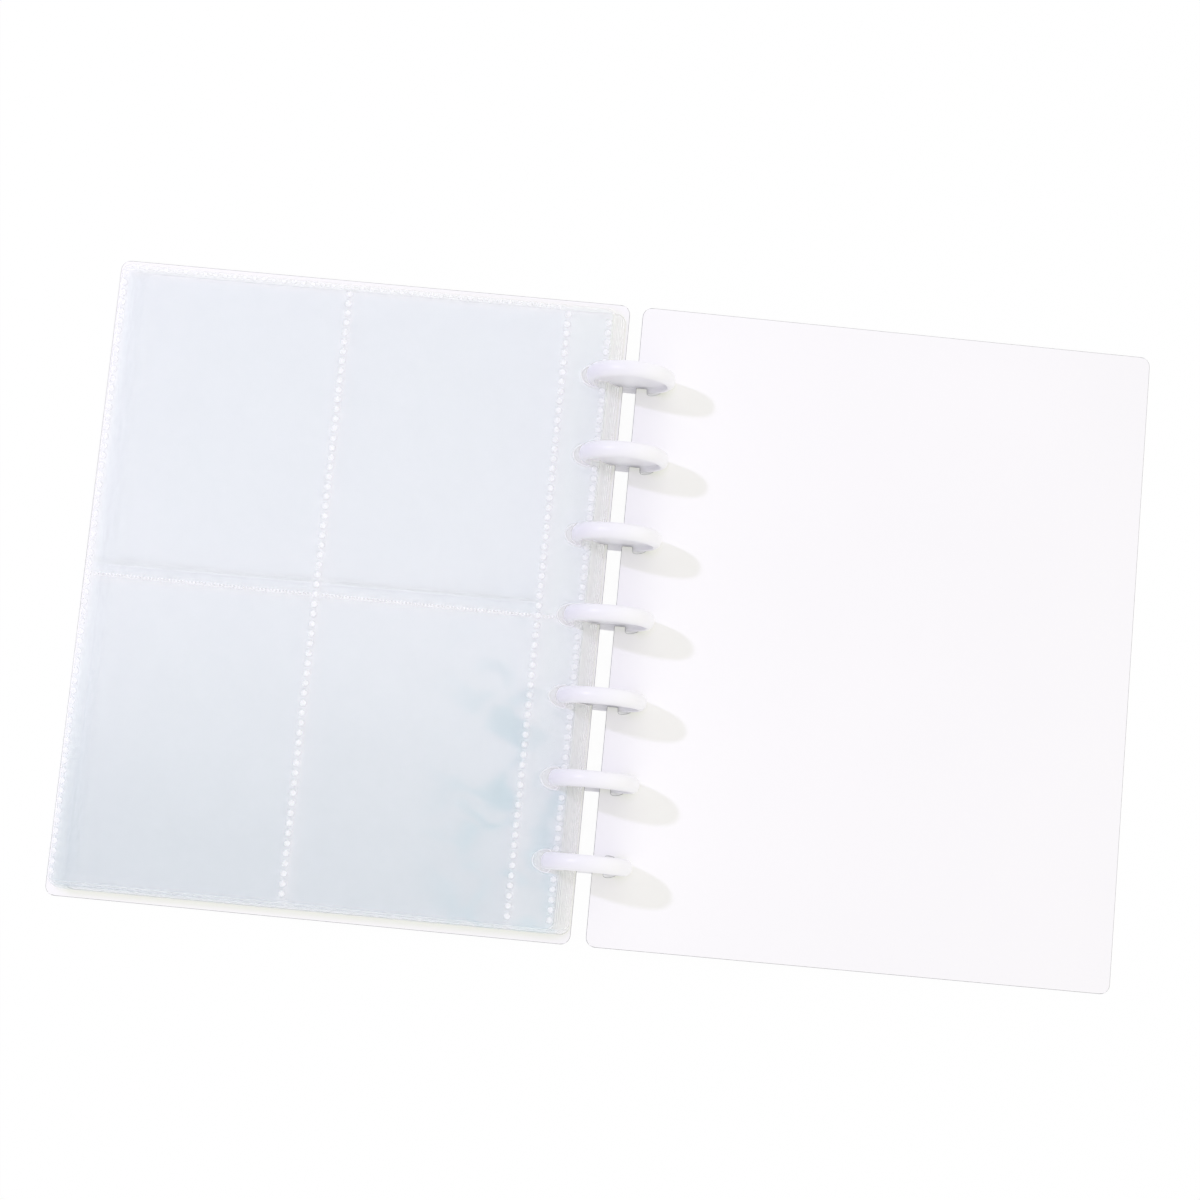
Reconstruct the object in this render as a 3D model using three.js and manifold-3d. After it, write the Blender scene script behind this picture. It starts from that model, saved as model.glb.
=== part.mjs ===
// Disc-bound pocket album, lying open on a table: covers to the left and right, leaves on the left cover.
// Millimetres, +X to the right, +Y to the head of the album, +Z up. The origin is on the table under the spine.
import * as THREE from 'three';
import Module from 'manifold-3d';
import { mergeVertices } from 'three/addons/utils/BufferGeometryUtils.js';

// Binding discs
const DISC_COUNT = 7;
const DISC_PITCH = 25.4;
const DISC_RADIUS = 14;
const RIM_DEPTH = 2.5;
const RIM_WIDTH = 5.2;
const RIM_CORNER = 0.5;
const WEB_THICKNESS = 1.5;

// Mushroom notches, the same punch for covers and leaves
const NECK_LENGTH = 3.5;
const NECK_CLEARANCE = 0.55;
const CAP_CLEARANCE = 0.75;
const CAP_CHAMFER = 0.9;
const SEAT_CLEARANCE = 0.7;
const CAP_END_CLEARANCE = 0.3;

// Leaves: a back film and a pocket film, welded into two columns and two rows of pockets
const LEAF_COUNT = 10;
const FILM_THICKNESS = 0.12;
const POCKET_GAP = 0.2;
const LEAF_GAP = 0.24;
const WELD_GAP = 0.06;
const LEAF_HEIGHT = 196.4;
const BINDING_STRIP = 14.95;
const INNER_POCKET_WIDTH = 69.5;
const OUTER_POCKET_WIDTH = 71.2;
const UPPER_POCKET_HEIGHT = 97.85;
const SEAM_WIDTH = 1.2;
const OUTER_SEAM_INSET = 1.4;
const HEAD_SEAM_INSET = 1.5;
const MOUTH_OFFSET = 4.7;
const MOUTH_SLIT = 0.5;
const FOOT_TRIM = 1;
const LEAF_CORNER = 3;

// Covers
const COVER_THICKNESS = 0.6;
const COVER_DROP = 8.9;
const COVER_SIDE_OVERHANG = 1.5;
const COVER_END_OVERHANG = 3;
const COVER_CORNER = 3;
const STACK_CLEARANCE = 0.3;

// Fineness of round stretches
const DISC_SEGMENTS = 32;
const BEAD_SEGMENTS = 6;
const CAP_SEGMENTS = 4;
const CORNER_SEGMENTS = 3;

// Sizes that follow from the driving ones
const AXIS_HEIGHT = DISC_RADIUS;
const RIM_INNER_RADIUS = DISC_RADIUS - RIM_DEPTH;
const NECK_HALF = WEB_THICKNESS / 2 + NECK_CLEARANCE;
const CAP_HALF = RIM_WIDTH / 2 + CAP_CLEARANCE;
const LEAF_THICKNESS = 2 * FILM_THICKNESS + POCKET_GAP;
const LEAF_PITCH = LEAF_THICKNESS + LEAF_GAP;
const COLUMN_WIDTHS = [INNER_POCKET_WIDTH, OUTER_POCKET_WIDTH];
const LEAF_WIDTH = BINDING_STRIP + INNER_POCKET_WIDTH + OUTER_POCKET_WIDTH + OUTER_SEAM_INSET;
const LEAF_HALF_HEIGHT = LEAF_HEIGHT / 2;
const LEVEL_SEAM = HEAD_SEAM_INSET + UPPER_POCKET_HEIGHT - LEAF_HALF_HEIGHT;
const COVER_HALF_HEIGHT = LEAF_HALF_HEIGHT + COVER_END_OVERHANG;
const COVER_BOTTOM = -COVER_DROP - COVER_THICKNESS;
const STACK_BOTTOM = -COVER_DROP + STACK_CLEARANCE;

// Distance from the spine to where a circle about the disc axis crosses the height h over that axis
const reach = (radius, h) => Math.sqrt(radius * radius - h * h);

// A sheet is drawn away from the spine until its neck ends just clear of the inner face of the rims
const bindingEdge = (h) => reach(RIM_INNER_RADIUS, h) - NECK_LENGTH - SEAT_CLEARANCE;

const leafBottom = (index) => STACK_BOTTOM + index * LEAF_PITCH;
const COVER_EDGE = bindingEdge(COVER_BOTTOM);
const NOTCH_DEPTH = reach(DISC_RADIUS, -COVER_DROP) - COVER_EDGE + CAP_END_CLEARANCE;
const LEAF_REACH = bindingEdge(leafBottom(LEAF_COUNT - 1)) + LEAF_WIDTH;
const COVER_WIDTH = LEAF_REACH + COVER_SIDE_OVERHANG - COVER_EDGE;

// The covers slope from the discs down to the table, where their outer lower edges rest
const COVER_REACH = COVER_EDGE + COVER_WIDTH;
const SHEET_TILT = Math.asin(AXIS_HEIGHT / Math.hypot(COVER_BOTTOM, COVER_REACH))
  - Math.atan(-COVER_BOTTOM / COVER_REACH);

const wasm = await Module();
wasm.setup();

const discPlastic = new THREE.MeshStandardMaterial({ color: 0xf1f0f6, roughness: 0.35, metalness: 0 });
const coverPlastic = new THREE.MeshStandardMaterial({ color: 0xf6f5f5, roughness: 0.55, metalness: 0 });
const clearFilm = new THREE.MeshStandardMaterial({
  color: 0xe6ebf3, roughness: 0.12, metalness: 0, transparent: true, opacity: 0.35,
});

function arc(x, y, radiusX, radiusY, from, to, segments) {
  const points = [];
  for (let i = 0; i <= segments; i += 1) {
    const angle = from + (to - from) * i / segments;
    points.push(new THREE.Vector2(x + radiusX * Math.cos(angle), y + radiusY * Math.sin(angle)));
  }
  return points;
}

// One notch in the binding edge at x = 0, walked from high y to low y: neck, chamfered cap, neck
function notch(y) {
  const capStart = NECK_LENGTH + CAP_CHAMFER;
  const neck = (sign) => [
    new THREE.Vector2(0, y + sign * NECK_HALF),
    new THREE.Vector2(NECK_LENGTH, y + sign * NECK_HALF),
    new THREE.Vector2(NECK_LENGTH, y + sign * (CAP_HALF - CAP_CHAMFER)),
  ];
  const dome = arc(capStart, y, NOTCH_DEPTH - capStart, CAP_HALF, Math.PI / 2, -Math.PI / 2, CAP_SEGMENTS);
  return [...neck(1), ...dome, ...neck(-1).reverse()];
}

const discY = (index) => (index - (DISC_COUNT - 1) / 2) * DISC_PITCH;

// Outline of a punched sheet: the binding edge at x = 0, the outer edge at x = width
function sheetOutline(width, low, high, corner) {
  const quarter = Math.PI / 2;
  const round = (x, y, from) => arc(x, y, corner, corner, from, from + quarter, CORNER_SEGMENTS);
  const points = [
    ...round(corner, low + corner, -2 * quarter),
    ...round(width - corner, low + corner, -quarter),
    ...round(width - corner, high - corner, 0),
    ...round(corner, high - corner, quarter),
  ];
  for (let index = DISC_COUNT - 1; index >= 0; index -= 1) {
    points.push(...notch(discY(index)));
  }
  return new THREE.Shape(points);
}

function extrude(shape, bottom, top) {
  const geometry = new THREE.ExtrudeGeometry(shape, { depth: top - bottom, bevelEnabled: false });
  return geometry.translate(0, 0, bottom);
}

function box(low, high) {
  const size = high.map((value, axis) => value - low[axis]);
  const centre = high.map((value, axis) => (value + low[axis]) / 2);
  return new THREE.BoxGeometry(...size).translate(...centre);
}

function toSolid(geometry) {
  const bare = geometry.clone();
  bare.deleteAttribute('normal');
  bare.deleteAttribute('uv');
  const merged = mergeVertices(bare);
  return new wasm.Manifold(new wasm.Mesh({
    numProp: 3,
    vertProperties: new Float32Array(merged.attributes.position.array),
    triVerts: new Uint32Array(merged.index.array),
  }));
}

function toGeometry(solid) {
  const mesh = solid.getMesh();
  const geometry = new THREE.BufferGeometry();
  geometry.setAttribute('position', new THREE.BufferAttribute(mesh.vertProperties, 3));
  geometry.setIndex(new THREE.BufferAttribute(mesh.triVerts, 1));
  geometry.computeVertexNormals();
  return geometry;
}

// Thin web and a wide rim with a rounded bead, turned about the disc's own axis along Y
function discGeometry() {
  const half = WEB_THICKNESS / 2;
  const shoulder = RIM_WIDTH / 2 - RIM_CORNER;
  const bead = arc(RIM_INNER_RADIUS + RIM_CORNER, 0, RIM_DEPTH - RIM_CORNER, RIM_WIDTH / 2,
    -Math.PI / 2, Math.PI / 2, BEAD_SEGMENTS);
  const profile = [
    new THREE.Vector2(0, -half),
    new THREE.Vector2(RIM_INNER_RADIUS, -half),
    new THREE.Vector2(RIM_INNER_RADIUS, -shoulder),
    ...bead,
    new THREE.Vector2(RIM_INNER_RADIUS, shoulder),
    new THREE.Vector2(RIM_INNER_RADIUS, half),
    new THREE.Vector2(0, half),
  ];
  return new THREE.LatheGeometry(profile, DISC_SEGMENTS);
}

function coverGeometry() {
  const outline = sheetOutline(COVER_WIDTH, -COVER_HALF_HEIGHT, COVER_HALF_HEIGHT, COVER_CORNER);
  return extrude(outline, 0, COVER_THICKNESS);
}

function backFilmGeometry() {
  const outline = sheetOutline(LEAF_WIDTH, -LEAF_HALF_HEIGHT, LEAF_HALF_HEIGHT, LEAF_CORNER);
  return extrude(outline, 0, FILM_THICKNESS);
}

// The head is at low y and the foot, where the lower pockets are open, at high y
function pocketFilmGeometry() {
  const foot = LEAF_HALF_HEIGHT - FOOT_TRIM;
  const outline = sheetOutline(LEAF_WIDTH, -LEAF_HALF_HEIGHT, foot, LEAF_CORNER);
  const floor = FILM_THICKNESS + WELD_GAP;
  const ceiling = FILM_THICKNESS + POCKET_GAP;
  const beyond = LEAF_THICKNESS + POCKET_GAP;
  const rows = [
    [-LEAF_HALF_HEIGHT + HEAD_SEAM_INSET + SEAM_WIDTH / 2, LEVEL_SEAM - SEAM_WIDTH / 2],
    [LEVEL_SEAM + SEAM_WIDTH / 2, foot + POCKET_GAP],
  ];
  const sheet = toSolid(extrude(outline, floor, floor + FILM_THICKNESS));
  const block = toSolid(extrude(outline, floor, ceiling + FILM_THICKNESS));
  const mouth = LEVEL_SEAM - MOUTH_OFFSET;
  let film = sheet;
  let seam = BINDING_STRIP;
  for (const width of COLUMN_WIDTHS) {
    const left = seam + SEAM_WIDTH / 2;
    const right = seam + width - SEAM_WIDTH / 2;
    for (const [low, high] of rows) {
      const raised = toSolid(box(
        [left - FILM_THICKNESS, low - FILM_THICKNESS, 0],
        [right + FILM_THICKNESS, high + FILM_THICKNESS, beyond],
      ));
      film = film.add(block.intersect(raised));
    }
    for (const [low, high] of rows) {
      film = film.subtract(toSolid(box([left, low, 0], [right, high, ceiling])));
    }
    film = film.subtract(toSolid(box([left, mouth - MOUTH_SLIT / 2, 0], [right, mouth + MOUTH_SLIT / 2, beyond])));
    seam += width;
  }
  return toGeometry(film);
}

// Sheets hang on the disc axis: local x runs from the spine outwards, and local z is up
function sheetSide(turn) {
  const side = new THREE.Group();
  side.position.z = AXIS_HEIGHT;
  side.rotation.set(0, SHEET_TILT, turn, 'ZYX');
  return side;
}

function addSheet(side, name, geometry, material, edge, height) {
  const sheet = new THREE.Mesh(geometry, material);
  sheet.name = name;
  sheet.position.set(edge, 0, height);
  side.add(sheet);
}

function addDiscs(album) {
  const geometry = discGeometry();
  for (let index = 0; index < DISC_COUNT; index += 1) {
    const disc = new THREE.Mesh(geometry, discPlastic);
    disc.name = `disc_${index + 1}`;
    disc.position.set(0, -discY(index), AXIS_HEIGHT);
    album.add(disc);
  }
}

function addCovers(leftSide, rightSide) {
  const geometry = coverGeometry();
  addSheet(leftSide, 'back_cover', geometry, coverPlastic, COVER_EDGE, COVER_BOTTOM);
  addSheet(rightSide, 'front_cover', geometry, coverPlastic, COVER_EDGE, COVER_BOTTOM);
}

function addLeaves(leftSide) {
  const back = backFilmGeometry();
  const pocket = pocketFilmGeometry();
  for (let index = 0; index < LEAF_COUNT; index += 1) {
    const leaf = `leaf_${String(index + 1).padStart(2, '0')}`;
    const height = leafBottom(index);
    const edge = bindingEdge(height);
    addSheet(leftSide, `${leaf}_back_film`, back, clearFilm, edge, height);
    addSheet(leftSide, `${leaf}_pocket_film`, pocket, clearFilm, edge, height);
  }
}

const album = new THREE.Group();
const leftSide = sheetSide(Math.PI);
const rightSide = sheetSide(0);
addDiscs(album);
addCovers(leftSide, rightSide);
addLeaves(leftSide);
album.add(leftSide, rightSide);

export default album;
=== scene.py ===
import math

import bpy
from mathutils import Matrix, Vector
from mathutils.geometry import delaunay_2d_cdt


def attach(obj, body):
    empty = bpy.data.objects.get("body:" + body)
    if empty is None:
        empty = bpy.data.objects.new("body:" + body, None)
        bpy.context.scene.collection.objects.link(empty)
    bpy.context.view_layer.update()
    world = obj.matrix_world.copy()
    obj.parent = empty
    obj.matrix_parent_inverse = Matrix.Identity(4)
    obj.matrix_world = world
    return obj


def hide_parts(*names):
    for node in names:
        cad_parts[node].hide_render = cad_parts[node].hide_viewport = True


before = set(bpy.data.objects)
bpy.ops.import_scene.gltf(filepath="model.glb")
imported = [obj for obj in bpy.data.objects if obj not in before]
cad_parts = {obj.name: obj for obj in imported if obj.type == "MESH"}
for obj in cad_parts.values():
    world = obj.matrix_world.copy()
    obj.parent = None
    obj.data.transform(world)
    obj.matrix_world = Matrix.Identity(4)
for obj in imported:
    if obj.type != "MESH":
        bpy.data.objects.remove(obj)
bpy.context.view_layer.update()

MM = 0.001

# Driving sizes of the album, in metres
DISC_COUNT = 7
DISC_PITCH = 25.4 * MM
DISC_RADIUS = 14 * MM
RIM_DEPTH = 2.5 * MM
RIM_WIDTH = 5.2 * MM
WEB_THICKNESS = 1.5 * MM
NECK_LENGTH = 3.5 * MM
NECK_HALF = 1.3 * MM
CAP_HALF = 3.35 * MM
CAP_CHAMFER = 0.9 * MM
SEAT_CLEARANCE = 0.7 * MM
CAP_END_CLEARANCE = 0.3 * MM
LEAF_COUNT = 10
FILM_THICKNESS = 0.12 * MM
POCKET_GAP = 0.2 * MM
LEAF_GAP = 0.24 * MM
WELD_GAP = 0.06 * MM
LEAF_HEIGHT = 196.4 * MM
BINDING_STRIP = 14.95 * MM
INNER_POCKET_WIDTH = 69.5 * MM
OUTER_POCKET_WIDTH = 71.2 * MM
UPPER_POCKET_HEIGHT = 97.85 * MM
SEAM_WIDTH = 1.2 * MM
OUTER_SEAM_INSET = 1.4 * MM
HEAD_SEAM_INSET = 1.5 * MM
EDGE_SEAM_INSET = 1.95 * MM
MOUTH_OFFSET = 4.7 * MM
MOUTH_SLIT = 0.5 * MM
FOOT_TRIM = 1 * MM
LEAF_CORNER = 3 * MM
COVER_THICKNESS = 0.6 * MM
COVER_DROP = 8.9 * MM
COVER_SIDE_OVERHANG = 1.5 * MM
COVER_END_OVERHANG = 3 * MM
COVER_CORNER = 3 * MM
STACK_CLEARANCE = 0.3 * MM

# Weld dots along the seams
DOT_PITCH = 3.12 * MM
DOT_RADIUS = 0.9 * MM
HEAD_DOT_RADIUS = 0.7 * DOT_RADIUS
FINE_DOT_PITCH = 1.1 * MM
FINE_DOT_RADIUS = 0.38 * MM
DOT_INNER_RING = 0.6
DOT_INNER_POINTS = 6
DOT_RING_POINTS = 8
DOT_RISE = 0.16 * MM
PRESSED_DOT_RISE = 0.05 * MM
CREASE_WIDTH = 0.35 * MM
HEAD_DOTS_INSET = 0.95 * MM
OUTER_DOTS_SHIFT = 0.3 * MM
NECK_TO_DOT = 1.8 * DOT_RADIUS
NOTCH_TO_FINE_DOT = 1 * MM
SEAM_TO_FINE_DOT = 1.5 * MM
FAR_FROM_DOTS = 1.0

# How far the notches let the sheets slip: the top leaf lies askew, the lowest nearly square. Turns are
# in radians
SLIP_OUT = 0.2 * MM
SLIP_TO_FOOT = 0.1 * MM
SLIP_TURN = 0.0062
SLIP_POWER = 6
SLIP_WOBBLE = 0.0004
SLIP_WOBBLE_STEP = 2.4
COVER_SLIP_OUT = 0.4 * MM
COVER_SLIP_TURN = 0.0035

# Soft shape of the films: the height of puff and waves, and the lengths of the waves and of their bends
PUFF = 0.1 * MM
PUFF_POWER = 0.8
WAVE = 0.12 * MM
WAVE_ACROSS = 21 * MM
WAVE_ALONG = 27 * MM
WAVE_ASLANT = 13 * MM
BEND_ACROSS = 34 * MM
BEND_ALONG = 30 * MM
WAVE_START = 0.6 * BINDING_STRIP
WAVE_START_RAMP = 12 * MM
OPEN_SIDE_SHARE = 0.75
SEAM_RAMP = 1 * MM

# Bands of the rim: all round, and where the binding edge begins, ends and turns into the notches
EDGE_BAND = 0.3 * MM
BINDING_EDGE_START = 1 * MM
BINDING_EDGE_END = 0.5 * MM
NOTCH_START = 0.5 * MM

# Rounded edges of the covers and mouldings of the discs
COVER_BEVEL = 0.28 * MM
COVER_BEVEL_SEGMENTS = 2
COVER_BEVEL_ANGLE = math.radians(50)
WEB_FILLET = 0.55 * MM
RIM_CORNER = 0.5 * MM
SHOULDER_END = math.pi * 0.62
BEAD_START = math.pi / 2 - 0.12
DISC_STEPS = 128

# Spacing of the points that shape the sheets, and how far they keep from outlines and other points
FILM_OUTLINE_STEP = 4 * MM
FILM_SPACING = 4.2 * MM
FILM_POINT_CLEARANCE = 1.5 * MM
BACK_SPACING = 5 * MM
BACK_POINT_CLEARANCE = 1.8 * MM
COVER_OUTLINE_STEP = 6 * MM
COVER_SPACING = 8 * MM
COVER_POINT_CLEARANCE = 3 * MM
SEAM_POINT_SPACING = 3.6 * MM
SEAM_POINT_CLEARANCE = 2 * MM
FOOT_POINT_CLEARANCE = 1 * MM
SLIT_CLEARANCE = 0.2 * MM
LOOKUP_CELL = 2 * MM

# Settings of the triangulation: triangles only inside the outline, and points this close are one
INSIDE_ONLY = 1
MERGE_DISTANCE = 1e-7

# Kinds of place on a pocket film, in the order of its materials, and on a back film
FILM, WELD, CREASE_SHADE, ROW_WELD, BINDING_EDGE, OUTER_EDGE, NOTCH_EDGE = range(7)
BACK_FILM, BACK_EDGE, BACK_OUTER_EDGE = range(3)

# Tones of the clear film, which takes a bluish cast in the stack
FILM_LIGHT = (0.90, 0.952, 1.0)
# Painted shade: the tone that the film deepens to towards the foot
FILM_FOOT_SHADE = (0.715, 0.79, 0.84)
# Painted reflection: the deeper blue of patches low down by the spine
FILM_REFLECTION_PATCH = (0.61, 0.765, 0.83)
# White of the welds, which also serves as painted light on the upper part of the outer seam
WELD_WHITE_AND_PAINTED_LIGHT = (0.93, 0.935, 0.96)
# Painted light: the lighter tone of the binding strip
FILM_STRIP_PAINTED_LIGHT = (0.94, 1.0, 0.98)
# Painted shade of the leaves' margin at the spine, from head to foot
MARGIN_SHADE_HEAD = (0.87, 0.92, 0.78)
MARGIN_SHADE_FOOT = (0.40, 0.44, 0.35)

# Where the film's tones change, in its own x from the binding edge and its y from the middle to the foot
FOOT_SHADE_FROM_TO = (5 * MM, 125 * MM)
FOOT_SHADE_DRIFT = 0.03
# Where the painted reflection patches lie, down the leaf and out from the spine, and the noise values of
# their edge
REFLECTION_PATCH_DOWN = (-20 * MM, 60 * MM)
REFLECTION_PATCH_OUT = (20 * MM, 50 * MM)
REFLECTION_PATCH_EDGE = (0.51, 0.565)
STRIP_END = (13 * MM, BINDING_STRIP)
STRIP_DOWN = (0, 60 * MM)
STRIP_SHARES = (0.5, 0.22)
SEAM_BLUR = (0.4 * MM, 1.6 * MM)
SEAM_SHARE = 0.6
# Painted light on the upper part of the outer seam: how far it spreads in and down, and its share
OUTER_SEAM_BLUR = 2 * MM
OUTER_SEAM_DOWN = (0, 45 * MM)
OUTER_SEAM_SHARE = 0.7
MARGIN_END = (0.9 * MM, 1.3 * MM)

# Milk of the clear film, seen squarely and seen flat, more of it towards the outer seam, and the light
# that a film's shadow leaves
CLEAR_HAZE = (0.07, 0.5)
MARGIN_HAZE = 0.08
MARGIN_HAZE_WIDTH = 4 * MM
HAZE_BLEND = 0.25
SHADE_LEFT = 0.975

# Painted shade of the covers where other pieces come near, by the share of open sky
COVER_SHADE = (0.86, 0.875, 0.80)
SHADE_DISTANCE = 4 * MM
COVERED_SHARES = (0.12, 0.3)
OPEN_SHARES = (0.55, 0.95)

# Values of the noise at which the plastics take their first and their second colour
DRIFT_ENDS = (0.35, 0.65)

# Enough for light to pass every film of the stack
TRANSPARENT_BOUNCES = 96

# Sky colours from the left through overhead to the right
SKY_LEFT = (0.29, 0.29, 0.37)
SKY_TOP = (1.0, 0.99, 0.931)
SKY_RIGHT = (0.917, 0.91, 0.868)
SKY_STRENGTH = 1.09

# Key light, which looks at the album's middle
KEY_PLACE = (-0.98, 0.39, 1.13)
KEY_SIZE = 0.08
KEY_POWER = 5.0
KEY_COLOUR = (0.71, 0.66, 1.0)

# Floor: it glows white, but for deep slits that keep their shade
FLOOR_HALF = 2.0
FLOOR_DROP = 0.05 * MM
FLOOR_COLOUR = (0.96, 0.96, 0.96)
FLOOR_GLOW = 0.6
FLOOR_OPEN_SHARES = (0.03, 0.08)
FLOOR_OPEN_GLOW = 0.975
SLIT_DISTANCE = 30 * MM
WHITE = (1.0, 1.0, 1.0)

# Camera, fitted to the photo, with its turns about x, y and z in radians
LENS = 73.12
SENSOR_WIDTH = 36
CLIP_START = 0.05
CLIP_END = 10
CAMERA_TURN = (0.1262, -0.00493, 0.0928)
CAMERA_PLACE = (-6.99 * MM, -89.8 * MM, 763 * MM)

AXIS_HEIGHT = DISC_RADIUS
RIM_INNER_RADIUS = DISC_RADIUS - RIM_DEPTH
LEAF_THICKNESS = 2 * FILM_THICKNESS + POCKET_GAP
LEAF_PITCH = LEAF_THICKNESS + LEAF_GAP
LEAF_WIDTH = BINDING_STRIP + INNER_POCKET_WIDTH + OUTER_POCKET_WIDTH + OUTER_SEAM_INSET
LEAF_HALF = LEAF_HEIGHT / 2
HEAD = -LEAF_HALF
FOOT = LEAF_HALF
FILM_FOOT = LEAF_HALF - FOOT_TRIM
HEAD_SEAM = HEAD + HEAD_SEAM_INSET
LEVEL_SEAM = HEAD_SEAM_INSET + UPPER_POCKET_HEIGHT - LEAF_HALF
MIDDLE_SEAM = BINDING_STRIP + INNER_POCKET_WIDTH
OUTER_SEAM = BINDING_STRIP + INNER_POCKET_WIDTH + OUTER_POCKET_WIDTH
SEAMS_X = [BINDING_STRIP, MIDDLE_SEAM, OUTER_SEAM]
MOUTH = LEVEL_SEAM - MOUTH_OFFSET
COVER_HALF = LEAF_HALF + COVER_END_OVERHANG
COVER_BOTTOM = -COVER_DROP - COVER_THICKNESS
STACK_BOTTOM = -COVER_DROP + STACK_CLEARANCE


def reach(radius, height):
    """Distance from the spine to where a circle about the disc axis crosses that height over it."""
    return math.sqrt(radius * radius - height * height)


def binding_edge(height):
    """Distance from the spine to the binding edge of a sheet at that height over the axis."""
    return reach(RIM_INNER_RADIUS, height) - NECK_LENGTH - SEAT_CLEARANCE


def leaf_bottom(index):
    return STACK_BOTTOM + index * LEAF_PITCH


COVER_EDGE = binding_edge(COVER_BOTTOM)
NOTCH_DEPTH = reach(DISC_RADIUS, COVER_DROP) - COVER_EDGE + CAP_END_CLEARANCE
COVER_REACH = binding_edge(leaf_bottom(LEAF_COUNT - 1)) + LEAF_WIDTH + COVER_SIDE_OVERHANG
COVER_WIDTH = COVER_REACH - COVER_EDGE
SHEET_TILT = (math.asin(AXIS_HEIGHT / math.hypot(COVER_BOTTOM, COVER_REACH))
              - math.atan(-COVER_BOTTOM / COVER_REACH))


# Shader nodes

class Graph:
    """Builds the nodes of a material or of the world."""

    def __init__(self, owner):
        owner.use_nodes = True
        self.nodes = owner.node_tree.nodes
        self.links = owner.node_tree.links

    def add(self, kind, **settings):
        node = self.nodes.new(kind)
        for name, value in settings.items():
            setattr(node, name, value)
        return node

    def feed(self, socket, value):
        """Sets a socket to a colour or a number, or links it to another socket."""
        if isinstance(value, tuple):
            socket.default_value = (*value, 1)
        elif isinstance(value, (int, float)):
            socket.default_value = value
        else:
            self.links.new(value, socket)

    def feed_all(self, node, **values):
        """Feeds the sockets of a node by name, with underscores for the spaces in the names."""
        for name, value in values.items():
            self.feed(node.inputs[name.replace("_", " ")], value)
        return node

    def math(self, operation, *values):
        node = self.add("ShaderNodeMath", operation=operation)
        for socket, value in zip(node.inputs, values):
            self.feed(socket, value)
        return node.outputs[0]

    def ramp(self, value, low, high, start=0.0, end=1.0, kind="SMOOTHSTEP"):
        """The value's place between low and high, turned into a number between start and end."""
        span = self.add("ShaderNodeMapRange", interpolation_type=kind)
        self.feed_all(span, Value=value, From_Min=low, From_Max=high, To_Min=start, To_Max=end)
        return span.outputs["Result"]

    def blend(self, share, first, second):
        mix = self.feed_all(self.add("ShaderNodeMix", data_type="RGBA"), Factor=share)
        for name, colour in (("A", first), ("B", second)):
            self.feed(next(i for i in mix.inputs if i.name == name and i.type == "RGBA"), colour)
        return next(o for o in mix.outputs if o.type == "RGBA")

    def mix_shaders(self, share, first, second):
        mix = self.add("ShaderNodeMixShader")
        for socket, value in zip(mix.inputs, (share, first, second)):
            self.feed(socket, value)
        return mix.outputs[0]

    def split(self, place):
        parts = self.feed_all(self.add("ShaderNodeSeparateXYZ"), Vector=place)
        return parts.outputs["X"], parts.outputs["Y"]

    def own_place(self):
        """The piece's own coordinates, which stay with it when it moves."""
        return self.add("ShaderNodeTexCoord").outputs["Object"]

    def noise(self, scale, detail, distortion=0.0):
        texture = self.add("ShaderNodeTexNoise")
        self.feed_all(texture, Vector=self.own_place(), Scale=scale, Detail=detail, Distortion=distortion)
        return texture.outputs["Fac"]

    def drift(self, scale, first, second):
        """A colour that drifts by noise between two near ones."""
        ramp = self.add("ShaderNodeValToRGB")
        for element, place, colour in zip(ramp.color_ramp.elements, DRIFT_ENDS, (first, second)):
            element.position = place
            element.color = (*colour, 1)
        self.feed_all(ramp, Fac=self.noise(scale, detail=2))
        return ramp.outputs["Color"]


# Camera and light

def add_object(name, data):
    made = bpy.data.objects.new(name, data)
    bpy.context.scene.collection.objects.link(made)
    return made


def add_camera():
    data = bpy.data.cameras.new("camera")
    data.lens = LENS
    data.sensor_width = SENSOR_WIDTH
    data.clip_start = CLIP_START
    data.clip_end = CLIP_END
    camera = add_object("camera", data)
    about_x, about_y, about_z = (Matrix.Rotation(turn, 4, axis) for turn, axis in zip(CAMERA_TURN, "XYZ"))
    camera.matrix_world = Matrix.Translation(CAMERA_PLACE) @ (about_x @ about_y @ about_z)
    bpy.context.scene.camera = camera


def add_key_light():
    data = bpy.data.lights.new("key", "AREA")
    data.shape = "DISK"
    data.size = KEY_SIZE
    data.energy = KEY_POWER
    data.color = KEY_COLOUR
    lamp = add_object("key", data)
    lamp.location = KEY_PLACE
    lamp.rotation_euler = (-Vector(KEY_PLACE)).to_track_quat("-Z", "Y").to_euler()


def sees_white(graph):
    """1 for camera, glossy and transmitted rays, to which the surroundings look white, and 0 for others."""
    path = graph.add("ShaderNodeLightPath")
    direct = graph.math("MAXIMUM", path.outputs["Is Camera Ray"], path.outputs["Is Glossy Ray"])
    return graph.math("MAXIMUM", direct, path.outputs["Is Transmission Ray"])


def shine_white(graph, kind):
    return graph.feed_all(graph.add(kind), Color=WHITE, Strength=1).outputs[0]


def sky_tint(graph):
    """A warm white studio whose left side is dim and a little violet."""
    where = graph.add("ShaderNodeTexCoord")
    x, _ = graph.split(where.outputs["Generated"])
    ramp = graph.add("ShaderNodeValToRGB")
    ramp.color_ramp.elements.new(0.5)
    for element, colour in zip(ramp.color_ramp.elements, (SKY_LEFT, SKY_TOP, SKY_RIGHT)):
        element.color = (*colour, 1)
    graph.feed_all(ramp, Fac=graph.ramp(x, -1, 1, kind="LINEAR"))
    return ramp.outputs["Color"]


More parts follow.
